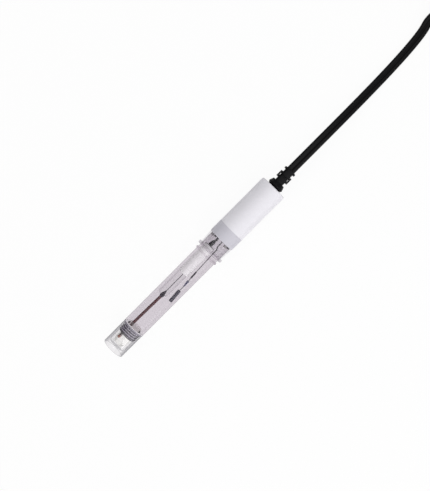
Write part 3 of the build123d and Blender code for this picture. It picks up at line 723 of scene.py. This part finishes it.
# 1 makes the yoke's section an ellipse, and less a box with rounded corners.
YOKE_BULGE = 0.6
LEAD_SPREAD, LEAD_HEIGHT = 1.9, 2.4
PH_POINTS = ((450.3, 4.0, 2.4), (462.3, 4.3, 4.6))
TEMP_POINTS = ((450.3, -2.6, 1.7), (458.3, -7.0, 1.8), (466.3, -11.0, 3.0))
PLUG_BACK = (474.8, 3.6, 7.25)
PHONE_BACK = (474.3, -13.0, 4.0)

# The hank's two lanes, outer and inner: radius round its loops, and of the bends towards its waist
LOOP_RADII = (HANK_LOOP - STRAND, HANK_LOOP - 3 * STRAND)
BEND_RADII = (HANK_FILLET + STRAND, HANK_FILLET + 3 * STRAND)
BEND_Y = HANK_FILLET + 4 * STRAND
SLOPE = asin(BEND_Y / (HANK_LOOP + HANK_FILLET))
BEND_X = HANK_REACH - (HANK_LOOP + HANK_FILLET) * cos(SLOPE)
LOW, HIGH = 2 * STRAND, 6 * STRAND


def placed(x, y, z):
    """A point of the route, in the row frame in metres."""
    return Vector((x * MM + ORIGIN.x, y * MM, z * MM))


def arc_corners(centre, radii, start, end, heights, count):
    """Corners round an arc, for a spline that touches it between each two of them."""
    step = (end - start) / count
    corners = []
    for i in range(count):
        share = (i + 0.5) / count
        radius = (radii[0] + (radii[1] - radii[0]) * share) / cos(step / 2)
        angle = start + step * (i + 0.5)
        height = heights[0] + (heights[1] - heights[0]) * share
        corners.append((centre[0] + radius * cos(angle), centre[1] + radius * sin(angle), height))
    return corners


def long_side(lane, height):
    """Through the waist towards +X, at the hank's back."""
    radii, heights = (BEND_RADII[lane],) * 2, (height, height)
    first = arc_corners((-BEND_X, BEND_Y), radii, pi + SLOPE, 1.5 * pi, heights, 2)
    return first + arc_corners((BEND_X, BEND_Y), radii, 1.5 * pi, tau - SLOPE, heights, 2)


def round_loop(lanes, start, end, heights, count):
    """Round the right loop, clockwise seen from above."""
    radii = (LOOP_RADII[lanes[0]], LOOP_RADII[lanes[1]])
    return arc_corners((HANK_REACH, 0), radii, start, end, heights, count)


def hank_corners():
    """The hank's turns. Each half turn is a long side and a loop, and those at the front are turned round.

    The lead comes in at the outer low lane, goes to the inner low one, up to the inner high one and out to
    the outer high one, each change round a loop where the lane that it goes to is free."""
    top, bottom = pi - SLOPE, SLOPE - pi
    back = pi / 2
    half_turns = [
        (False, long_side(0, LOW) + round_loop((0, 0), top, bottom, (LOW, LOW), 7)),
        (True, long_side(0, LOW) + round_loop((0, 1), top, -back / 2, (LOW, LOW), 5)
         + round_loop((1, 1), -back / 2, bottom, (LOW, LOW), 2)),
        (False, long_side(1, LOW) + round_loop((1, 1), top, 0, (LOW, LOW), 4)
         + round_loop((1, 1), 0, bottom, (LOW, HIGH), 4)),
        (True, long_side(1, HIGH) + round_loop((1, 1), top, bottom, (HIGH, HIGH), 7)),
        (False, long_side(1, HIGH) + round_loop((1, 1), top, back, (HIGH, HIGH), 1)
         + round_loop((1, 0), back, 0, (HIGH, HIGH), 2) + round_loop((0, 0), 0, bottom, (HIGH, HIGH), 4)),
        (True, long_side(0, HIGH) + round_loop((0, 0), top, bottom, (HIGH, HIGH), 7)),
        (False, long_side(0, HIGH) + round_loop((0, 0), top, back, (HIGH, HIGH), 1)),
    ]
    corners = [(-x, -y, z) for x, y, z in round_loop((0, 0), -back, bottom, (LOW, LOW), 1)]
    for front, half_turn in half_turns:
        turn = -1 if front else 1
        corners += [(turn * x, turn * y, z) for x, y, z in half_turn]
    return [(HANK_X + x, HANK_Y + y, z) for x, y, z in corners]


def circle(radius, count):
    return [(radius * cos(tau * i / count), radius * sin(tau * i / count)) for i in range(count)]


def twin_section(strand, web):
    """Two round strands side by side, joined by a web that leaves a groove along both faces."""
    meet = asin(web / 2 / strand)
    right = [
        (strand + strand * cos(a), strand * sin(a))
        for a in [(-pi + meet) + (tau - 2 * meet) * i / 14 for i in range(15)]
    ]
    return right + [(-x, -y) for x, y in right]


def ease(value, low, high):
    """From 0 at low to 1 at high, level at both."""
    share = min(1.0, max(0.0, (value - low) / (high - low)))
    return share * share * (3 - 2 * share)


class ELECTRODE_OT_lead(bpy.types.Operator):
    """Lays the flat twin lead, its tied hank, the moulding where it divides and the two branch leads"""

    bl_idname = "electrode.lead"
    bl_label = "Lead"

    def execute(self, context):
        sizes, finish = context.scene.electrode_lead, context.scene.electrode_finishes
        # PVC sheath, extruded: black and satin. Its grain is drawn coarser than the real one, so that it shows.
        sheath = moulded("pvc_sheath", finish.black, 0.38, 0.4 * MM, 0.012 * MM, **DULL)
        exit_point = LAID @ Vector((RELIEF_END_X * MM, 0, 0))
        hank_back = HANK_Y + LOOP_RADII[0]
        entry_x = HANK_X - HANK_REACH - HANK_ENTRY
        leaving_x = HANK_X + HANK_REACH + HANK_EXIT
        route = [exit_point, exit_point + AXIS * EXIT_RUN * MM]
        route += [Vector((exit_point.x + x * MM, exit_point.y + y * MM, z * MM)) for x, y, z in RUN_POINTS]
        route += [placed(entry_x - ENTRY_RUN, hank_back - ENTRY_SHIFT, ENTRY_HEIGHT)]
        route += [placed(entry_x, hank_back, LOW), placed(entry_x + ENTRY_RUN, hank_back, LOW)]
        route += [placed(*corner) for corner in hank_corners()]
        route += [placed(leaving_x, hank_back, HIGH)]
        route += [placed(*point) for point in TAIL_POINTS]
        route += [placed(*YOKE_START, YOKE_HEIGHT / 2)]
        points = spline_points("lead_route", route)
        whole = run(points)
        entry = 0.0
        for a, b in zip(points, points[1:]):
            if b.x > placed(entry_x + ON_EDGE_FROM, 0, 0).x:
                break
            entry += (b - a).length

        def roll(distance):
            """Flat on the surface, on edge in the hank, and flat again where it divides."""
            on_edge = ease(distance, entry - TURN_RUN * MM, entry)
            flat = ease(distance, whole - FLAT_FROM * MM, whole - FLAT_TO * MM)
            return pi / 2 * (on_edge - flat)

        lead = tube("twin_lead", points, twin_section(sizes.strand, sizes.web), roll, sheath)
        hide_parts("cord_run", "cord_hank", "cord_tail")
        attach(lead, ELECTRODE)

        yoke = yoke_moulding(sheath)
        # Nylon, woven as a hook and loop tie: dull black.
        dress(moulded("tie_nylon", linear("#1A1A1A"), 0.4), "cord_tie")

        for name, node, side, corners, end, plug in (
            ("ph_branch", "ph_lead", 1, PH_POINTS, PLUG_BACK,
             ["plug_boot", "plug_body", "plug_sleeve", "snap_ring", "plug_insulator", "plug_pin"]),
            ("temperature_branch", "temp_lead", -1, TEMP_POINTS, PHONE_BACK, ["phone_grip", "phone_shank"]),
        ):
            start = (YOKE_START[0] + YOKE_LENGTH, YOKE_START[1] + side * LEAD_SPREAD, LEAD_HEIGHT)
            line = spline_points(name + "_route", [placed(*p) for p in (start, *corners, end)])
            branch = tube(name, line, circle(sizes.strand, 20), lambda distance: 0.0, sheath)
            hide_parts(node)
            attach(branch, ELECTRODE)
        return {"FINISHED"}


def yoke_moulding(material):
    """The moulding where the lead divides: a rounded wedge that grows from the twin lead to its two outlets."""
    stations = (
        (0.0, 3.6, 2.6), (0.04, 4.0, 3.0), (0.25, 4.3, 3.3), (0.75, 4.5, 3.4), (0.94, 4.3, 3.2), (1.0, 3.8, 2.7),
    )
    bm = bmesh.new()
    rings = []
    for share, half_width, half_height in stations:
        ring = []
        for i in range(40):
            angle = tau * i / 40
            c, s = cos(angle), sin(angle)
            u = half_width * abs(c) ** YOKE_BULGE * (1 if c >= 0 else -1)
            v = half_height * abs(s) ** YOKE_BULGE * (1 if s >= 0 else -1)
            x = YOKE_START[0] + YOKE_LENGTH * share
            ring.append(bm.verts.new(placed(x, YOKE_START[1] + u, YOKE_HEIGHT / 2 + v)))
        rings.append(ring)
    between_rings(bm, rings, ends=True)
    yoke = smooth_object("yoke_moulding", bm, material, 50)
    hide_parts("lead_yoke")
    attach(yoke, ELECTRODE)
    return yoke


class ELECTRODE_OT_plugs(bpy.types.Operator):
    """Finishes the coaxial bayonet plug and the phone plug"""

    bl_idname = "electrode.plugs"
    bl_label = "Plugs"

    def execute(self, context):
        finish = context.scene.electrode_finishes
        # Brass, turned and nickel plated: bright and slightly warm. The pin is gold plated.
        dress(metal("nickel_plate", "#C8C3BA", 0.22), "plug_body", "plug_sleeve", "snap_ring", "phone_shank")
        dress(metal("gold_plate", "#E6BE6A", 0.2), "plug_pin")
        # PTFE, turned: pure white and waxy.
        dress(moulded("turned_ptfe", linear("#F0EFEA"), 0.45), "plug_insulator")
        # PVC, moulded over the plugs: black, with a soft shine.
        dress(moulded("grip_pvc", finish.black, 0.45), "plug_boot", "phone_grip")
        return {"FINISHED"}


# Camera and stage, in metres

PICTURE_HEIGHT = 491
PIXEL = 0.65 * MM
LENS, SENSOR = 63.0, 36.0
AIM_X, AIM_Y = 95.7 * MM, 0.35 * MM
EYE_X = 121.3 * MM
# Where +X and +Y of the row frame point in the picture: right and up parts
PICTURE_X = Vector((0.70623, 0.70798))
PICTURE_Y = Vector((-0.70798, 0.70623))

# Share of the floor that shows as plain white, so the rest of it keeps the shadow
FLOOR_GLOW = 0.92
# The even light's strength on the soft box's side and on the other, as shares of the world's
EVEN_NEAR, EVEN_FAR = 1.2, 0.7


def seen_rays(tree):
    """A socket that is 1 for the rays that show the backdrop: to the camera, also through clear pieces."""
    path = add(tree, "ShaderNodeLightPath")
    return add(
        tree, "ShaderNodeMath", operation="MAXIMUM",
        links={0: path.outputs["Is Camera Ray"], 1: path.outputs["Is Transmission Ray"]},
    ).outputs[0]


class ELECTRODE_OT_stage(bpy.types.Operator):
    """Makes the floor, the studio light and the camera at the photograph's angle"""

    bl_idname = "electrode.stage"
    bl_label = "Stage"

    def execute(self, context):
        scene, stage = context.scene, context.scene.electrode_stage
        scene.view_settings.view_transform = "Standard"

        distance = PICTURE_HEIGHT * PIXEL * LENS / SENSOR
        aim = LAID @ Vector((AIM_X, AIM_Y, 0))
        eye = Vector((ORIGIN.x + EYE_X, AIM_Y, aim.z + distance))
        back = (eye - aim).normalized()
        above = Vector((PICTURE_X.y, PICTURE_Y.y, 0))
        right = above.cross(back).normalized()
        above = back.cross(right)
        camera = bpy.data.objects.new("camera", bpy.data.cameras.new("camera"))
        camera.data.lens, camera.data.sensor_width = LENS, SENSOR
        camera.data.clip_start, camera.data.clip_end = 0.01, 20
        camera.matrix_world = Matrix((
            (right.x, above.x, back.x, eye.x),
            (right.y, above.y, back.y, eye.y),
            (right.z, above.z, back.z, eye.z),
            (0, 0, 0, 1),
        ))
        scene.collection.objects.link(camera)
        scene.camera = camera

        # The floor: matt white board that keeps the shadow, and shows nearly white to the camera.
        board = bpy.data.materials.new("white_board")
        board.use_nodes = True
        tree = board.node_tree
        tree.nodes.clear()
        share = add(tree, "ShaderNodeMath", {1: FLOOR_GLOW}, {0: seen_rays(tree)}, operation="MULTIPLY")
        matt = add(tree, "ShaderNodeBsdfDiffuse", {"Color": (0.9, 0.9, 0.9, 1)})
        glow = add(tree, "ShaderNodeEmission", {"Color": (1, 1, 1, 1), "Strength": 1.0})
        mix = add(
            tree, "ShaderNodeMixShader",
            links={0: share.outputs[0], 1: matt.outputs["BSDF"], 2: glow.outputs["Emission"]},
        )
        add(tree, "ShaderNodeOutputMaterial", links={"Surface": mix.outputs["Shader"]})
        bm = bmesh.new()
        bmesh.ops.create_grid(bm, x_segments=1, y_segments=1, size=4)
        floor = smooth_object("floor", bm, board)

        world = bpy.data.worlds.new("studio")
        scene.world = world
        world.use_nodes = True
        tree = world.node_tree
        tree.nodes.clear()
        seen = seen_rays(tree)
        # The even light is stronger from the soft box's side and fades towards the other.
        place = add(tree, "ShaderNodeTexCoord")
        parts = add(tree, "ShaderNodeSeparateXYZ", links={"Vector": place.outputs["Generated"]})
        fade = add(
            tree, "ShaderNodeMapRange",
            {
                "From Min": -1.0, "From Max": 1.0,
                "To Min": stage.world * EVEN_NEAR, "To Max": stage.world * EVEN_FAR,
            },
            {"Value": parts.outputs["Y"]},
        )
        even = add(tree, "ShaderNodeBackground", {"Color": (1, 1, 1, 1)}, {"Strength": fade.outputs["Result"]})
        white = add(tree, "ShaderNodeBackground", {"Color": (1, 1, 1, 1), "Strength": 1.0})
        mix = add(
            tree, "ShaderNodeMixShader",
            links={0: seen, 1: even.outputs["Background"], 2: white.outputs["Background"]},
        )
        add(tree, "ShaderNodeOutputWorld", links={"Surface": mix.outputs["Shader"]})

        for name, place, size, power in (
            ("soft_box", (0.0, -0.72, 0.74), (0.8, 0.9), stage.key),
            ("side_panel", (0.0, -0.95, 0.24), (0.8, 0.3), stage.key * 0.4),
            ("top_panel", (0.0, 0.2, 1.1), (1.8, 1.5), stage.key * 2.5),
        ):
            light = bpy.data.lights.new(name, "AREA")
            light.shape, light.size, light.size_y, light.energy = "RECTANGLE", size[0], size[1], power
            lamp = bpy.data.objects.new(name, light)
            lamp.location = place
            lamp.rotation_euler = (-Vector(place)).to_track_quat("-Z", "Y").to_euler()
            scene.collection.objects.link(lamp)
        return {"FINISHED"}


class ELECTRODE_PT_pieces(bpy.types.Panel):
    """Lists the electrode's pieces, sizes and finishes"""

    bl_idname = "ELECTRODE_PT_pieces"
    bl_label = "pH electrode"
    bl_space_type = "VIEW_3D"
    bl_region_type = "UI"
    bl_category = "Electrode"

    def draw(self, context):
        for operator in OPERATORS:
            self.layout.operator(operator.bl_idname)
        for name, group in SETTINGS.items():
            box = self.layout.box()
            for field in group.__annotations__:
                box.prop(getattr(context.scene, name), field)


OPERATORS = (
    ELECTRODE_OT_screw_cap,
    ELECTRODE_OT_nose,
    ELECTRODE_OT_stem,
    ELECTRODE_OT_inner_electrode,
    ELECTRODE_OT_reference,
    ELECTRODE_OT_head,
    ELECTRODE_OT_strain_relief,
    ELECTRODE_OT_lead,
    ELECTRODE_OT_plugs,
    ELECTRODE_OT_stage,
)
SETTINGS = {
    "electrode_thread": ThreadSizes,
    "electrode_lead": LeadSizes,
    "electrode_finishes": Finishes,
    "electrode_stage": StageSizes,
}


def register():
    for cls in (*SETTINGS.values(), *OPERATORS, ELECTRODE_PT_pieces):
        bpy.utils.register_class(cls)
    for name, group in SETTINGS.items():
        setattr(bpy.types.Scene, name, bpy.props.PointerProperty(type=group))


def unregister():
    for name in SETTINGS:
        delattr(bpy.types.Scene, name)
    for cls in reversed((*SETTINGS.values(), *OPERATORS, ELECTRODE_PT_pieces)):
        bpy.utils.unregister_class(cls)


def main():
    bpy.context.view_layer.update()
    register()
    for operator in OPERATORS:
        group, name = operator.bl_idname.split(".")
        getattr(getattr(bpy.ops, group), name)()


if __name__ == "__main__":
    main()
